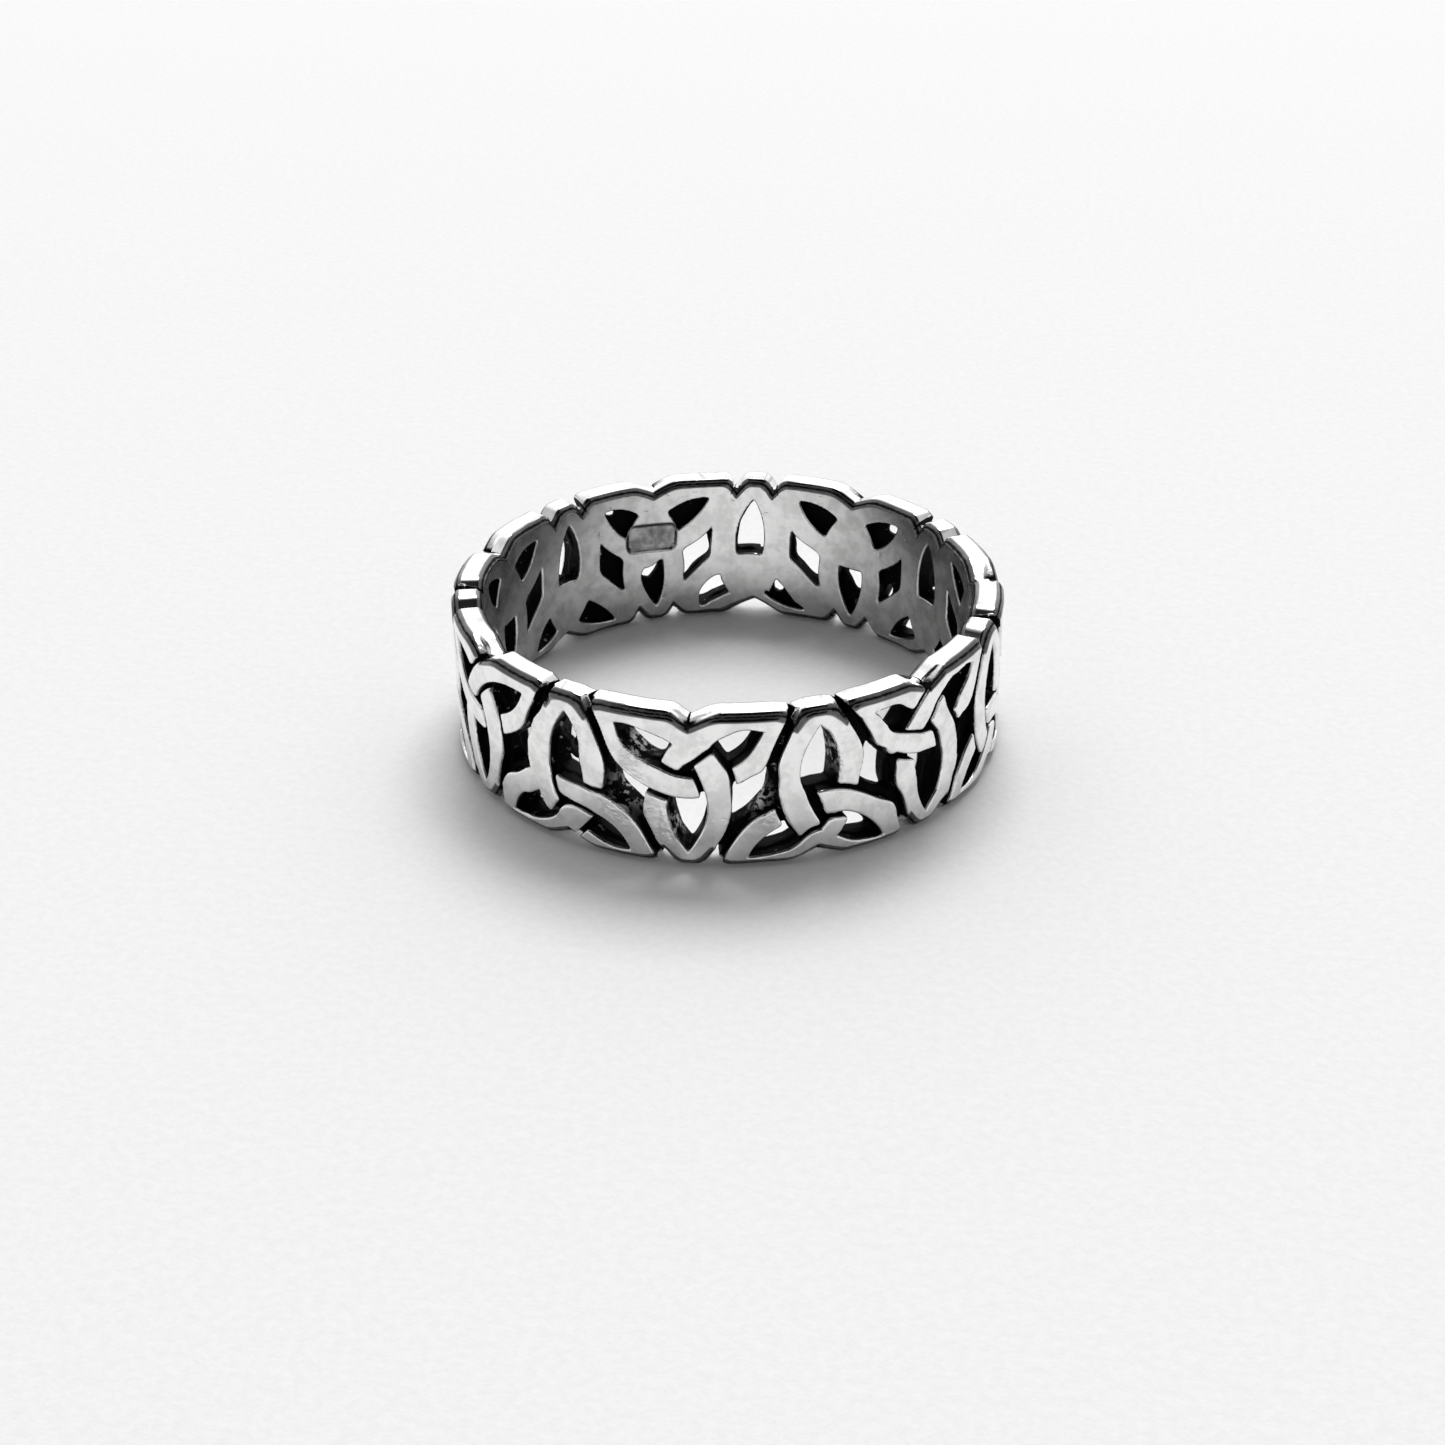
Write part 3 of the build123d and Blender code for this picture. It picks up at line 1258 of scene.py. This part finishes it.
@dataclass
class StudioLight:
    """A soft room: a bright glow behind the ring, a dark hood in front and above, and
    one soft panel. Turns and rises are in degrees, from azimuth and from level."""

    azimuth: float = 8.145
    room: float = 0.56
    glow: float = 1.3
    glow_rise: float = 28.0
    glow_whole: float = 22.0
    glow_none: float = 60.0
    hood: float = 0.03
    hood_rise: float = 64.0
    hood_whole: float = 25.0
    hood_none: float = 40.0
    panel_side: float = 740.0
    panel_distance: float = 1500.0
    panel_rise: float = 57.0
    panel_turn: float = 168.0
    panel_power: float = 13.6

    def build(self) -> bpy.types.Object:
        """Lights the room and hangs the panel.

        The room has one brightness all round, which goes to the glow's in one round
        spot behind the ring and to the hood's in one in front and above.

        Returns:
            The panel's light.
        """
        world = bpy.data.worlds.new("soft_room")
        bpy.context.scene.world = world
        sheet = NodeSheet(world)
        sky = sheet.add("TexCoord").outputs["Generated"]
        glow = sheet.lobe(sky, self.direction(180.0, self.glow_rise), self.glow_whole, self.glow_none)
        hood = sheet.lobe(sky, self.direction(0.0, self.hood_rise), self.hood_whole, self.hood_none)
        level = sheet.math("MULTIPLY_ADD", glow, self.glow - self.room, self.room)
        level = sheet.product(level, sheet.math("MULTIPLY_ADD", hood, self.hood - 1, 1.0))
        back = sheet.add("Background", Color=(1, 1, 1, 1), Strength=level)
        sheet.finish(back, "OutputWorld")

        data = bpy.data.lights.new("soft_panel", "AREA")
        data.shape = "SQUARE"
        data.size = self.panel_side * METRE
        data.energy = self.panel_power
        panel = bpy.data.objects.new("soft_panel", data)
        away = Vector(self.direction(self.panel_turn, self.panel_rise))
        panel.location = away * self.panel_distance * METRE
        panel.rotation_euler = away.to_track_quat("Z", "Y").to_euler()
        bpy.context.scene.collection.objects.link(panel)
        return panel

    def direction(self, turn: float, rise: float) -> tuple[float, float, float]:
        """The direction turn degrees round from azimuth and rise degrees up."""
        angle = radians(self.azimuth + turn)
        return (sin(angle) * cos(radians(rise)), -cos(angle) * cos(radians(rise)), sin(radians(rise)))


def nudges_of(knot: int, *rows: tuple[float, ...]) -> tuple[Nudge, ...]:
    """One knot's nudges, from rows of across, up, right, rise and reach."""
    return tuple(Nudge(knot, *row) for row in rows)


def touches_of(change: Change, *rows: tuple[float, ...]) -> tuple[Touch, ...]:
    """The touches of one kind, from rows of knot, across, up, amount and reach."""
    return tuple(Touch(*row, change=change) for row in rows)


def photo_nudges() -> tuple[Nudge, ...]:
    """The strays of the strands, placed against the photograph: those left of
    the front knot, in it, right of it, far right, at the back and at the left side."""
    return (
        nudges_of(
            -1, (-1.4, 1.4, -0.2), (-1.65, 0.4, -0.22), (-1.7, -0.5, -0.28), (-0.7, -0.3, -0.1),
            (-0.6, -0.9, -0.22), (-0.6, -1.5, -0.3, -0.1), (-2.5, -1.1, 0, 0.12),
            (-2.6, -2.75, -0.25, -0.1), (-1.6, -2.6, -0.05, -0.06), (-0.8, -2.2, 0, -0.06),
            (0, -0.4, 0, -0.25), (0.9, -0.4, 0, -0.22), (0.2, -1.2, 0, -0.22), (1, -1.35, 0, -0.2),
            (1.8, -1.3, 0, -0.12), (0.6, 0.6, -0.12), (-0.5, -1.2, -0.35), (-2.95, -1.4, -0.35, 0.3),
            (-3.15, -2, -0.45, 0, 0.4), (-2.3, -2, -0.2, 0.1))
        + nudges_of(
            0, (-2.45, 1.7, -0.12, -0.05), (-2.3, 2.4, 0, 0.07), (-0.85, 1.2, 0.24, 0.05),
            (-0.6, 1.85, 0.08), (-0.75, 2.95, 0.45), (0.3, 1.5, 0.18, -0.05), (0.65, 1.5, 0.1, -0.12),
            (0, 0.6), (-0.3, -0.25, 0, -0.06), (-0.7, -0.9, -0.12), (-0.5, -1.7, -0.1),
            (-1.5, -1.2, -0.2), (-1.15, -1.9, -0.18), (1.3, -1.7, 0.08), (1.9, 2.4, 0, 0.13),
            (2, 0.5, 0, 0.17), (1.55, 0.8, 0.08, 0.05))
        + nudges_of(
            1, (-1.5, 0.4, 0.13), (-1.3, -0.8, 0.13), (-0.95, -1.7, 0.08), (-0.6, -0.4, 0.12),
            (-0.35, -0.9, 0.14), (0.45, 1.8, 0.12), (0.7, 0.8, 0.06), (1.3, 1.5, 0.27),
            (1, 2.2, 0.15), (1.45, 0.9, 0.15), (1.5, 0.1), (2.05, 1.35, 0.4), (1.7, 2, 0.25),
            (2.95, -1.6, 0.15, 0.1), (2.4, -2.6, 0.1, -0.08), (1.4, -2.5, 0, -0.08),
            (0.6, -1.7, 0.17, -0.12), (-0.9, -2.4, 0.05, -0.06), (-1.7, -0.8, 0, -0.12),
            (0, -2.8, 0, -0.06), (0.3, -1.5, 0.25, -0.2))
        + nudges_of(
            2, (-2.3, 1, 0.1, 0.35), (-2.2, 1.9, 0.25, 0.2), (-1.5, 0.9, 0, 0.4),
            (-0.8, 0.7, 0, 0.4), (0, 0.4, -0.05, 0.36), (-1.6, 2.4, 0, 0.22), (0.5, 1.9, 0, 0.25),
            (1.2, 2.3, 0, 0.35), (2.1, 2.4, 0, 0.3), (0.7, 0.3, 0.18), (0.75, -0.7, 0.18),
            (0.65, -1.6, 0.2, 0, 0.6), (1.5, -0.3, 0.2), (1.55, -1.2, 0.33), (1.25, -2.1, 0.38),
            (-0.55, -0.9, 0.1), (1.8, 0.5, 0.05, 0.38), (2, 1.5, 0, 0.33), (2.6, 1.1, 0.05, 0.15),
            (-1.2, 0.1, 0, 0.35), (-0.4, -0.1, 0, 0.33), (0.1, 0, -0.1, 0.3))
        + nudges_of(7, (0, 0, 0.4, 0, 2.6))
        + nudges_of(8, (0, 0, 0.42, 0, 2.6))
        + nudges_of(9, (0, -1.9, 0.4, 0, 1.6), (0, 0.7, 0.05, 0, 1.2))
        + nudges_of(6, (0, 0, 0.12, 0, 2.4))
        + nudges_of(7, (2, -1.8, 0.85, 0.2, 0.9), (-1.7, -1.8, 0.65, 0, 0.7))
        + nudges_of(-2, (0, 0, -0.35, 0, 2.2))
    )


def photo_touches() -> tuple[Touch, ...]:
    """The holes that the photograph shows wider, clogged or full of crumbs, and the
    notches that it shows shallow or deep."""
    return (
        touches_of(
            Change.FLANGE, (8, -1.2, 1.7, 0.9, 0.9), (8, 1.7, 1.4, 0.8, 0.6), (9, -2, -0.6, 0.9, 0.8),
            (8, 0.2, -1.6, 0.7, 0.6), (7, -1.3, -2.1, 0.6), (7, -0.95, -1.6, -0.5, 0.35),
            (6, 1.7, 1.6, 0.9, 0.9), (6, -1.1, 1.5, 0.8, 0.6), (6, 0.4, -1.4, 0.7, 0.55),
            (6, -2.2, -0.1, 0.9, 0.6), (9, -1.3, -2.1, 0.7), (7, -0.35, -1.95, 0.35, 0.4),
            (7, 0.35, 0.2, 0.25, 0.35), (-1, 0.8, 1.4, 0.5, 0.6), (-1, 0, 0.6, 0.7, 0.55))
        + touches_of(
            Change.WEB, (7, -0.95, -1.6, -0.12, 0.35), (7, 2.4, -1.4, -0.25, 0.65),
            (7, -0.35, -1.95, -0.22, 0.4), (8, 0.6, -0.3, 0.4, 0.45), (0, -2.1, -0.3, -0.25, 0.6),
            (0, -1.2, 1.6, -0.2, 0.5), (0, 1.95, -0.9, -0.2, 0.6), (0, 0, -1.9, -0.12))
        + touches_of(
            Change.RIM, (7, 0.4, -3, -0.25, 1.5), (6, -0.75, -3, -0.15), (9, 1, -3, -0.15),
            (-1, 0.9, 3, 0.25, 0.35), (-1, -0.6, 3, 0.25, 0.35), (1, 0.83, 3, 0.2, 0.35),
            (1, -0.83, 3, 0.2, 0.35))
        + touches_of(
            Change.SPARK, (0, -2.25, -0.4, 1, 0.6), (0, -1.85, 1.5, 0.9, 0.45), (0, -0.5, -1.5, 1, 0.4),
            (1, -2.2, -0.5, 1, 0.45), (-1, 0.25, 1.5, 0.9, 0.45), (1, 0.6, 1, 0.9, 0.45))
    )


def photo_pattern(sizes: BandSizes) -> KnotPattern:
    """The pattern as the photograph shows it.

    Args:
        sizes: The band's sizes.

    Returns:
        The pattern, with crossings that ran together, strays and touches.
    """
    merged = ((0, Part.LEFT), (-1, Part.RIGHT), (-2, Part.BAR), (1, Part.LEFT))
    gaps = tuple(Gap(knot, over, outer=-0.3, inner=sizes.gap) for knot, over in merged)
    wide = Gap(1, Part.RIGHT, outer=sizes.gap, inner=0.4)
    return KnotPattern(sizes, gaps + (wide,), photo_nudges(), photo_touches())


def main() -> None:
    """Builds the scene."""
    logging.basicConfig(level=logging.INFO, format="%(message)s")
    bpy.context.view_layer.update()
    sizes = BandSizes()
    camera = PhotoCamera().build(sizes.half)
    LOG.info("camera: %.1f mm lens", camera.data.lens)
    band = CastBand("cast_knot_band", sizes, photo_pattern(sizes), StampPanel()).build(OxidisedSilver())
    LOG.info("%s: %d vertices, %d faces", band.name, len(band.data.vertices), len(band.data.polygons))
    floor = Floor().build(PaperFinish())
    LOG.info("%s: %.1f m", floor.name, floor.dimensions.x)
    panel = StudioLight().build()
    LOG.info("%s: %.2f W", panel.name, panel.data.energy)
    view = bpy.context.scene.view_settings
    view.view_transform, view.look = "Standard", "None"


if __name__ == "__main__":
    main()
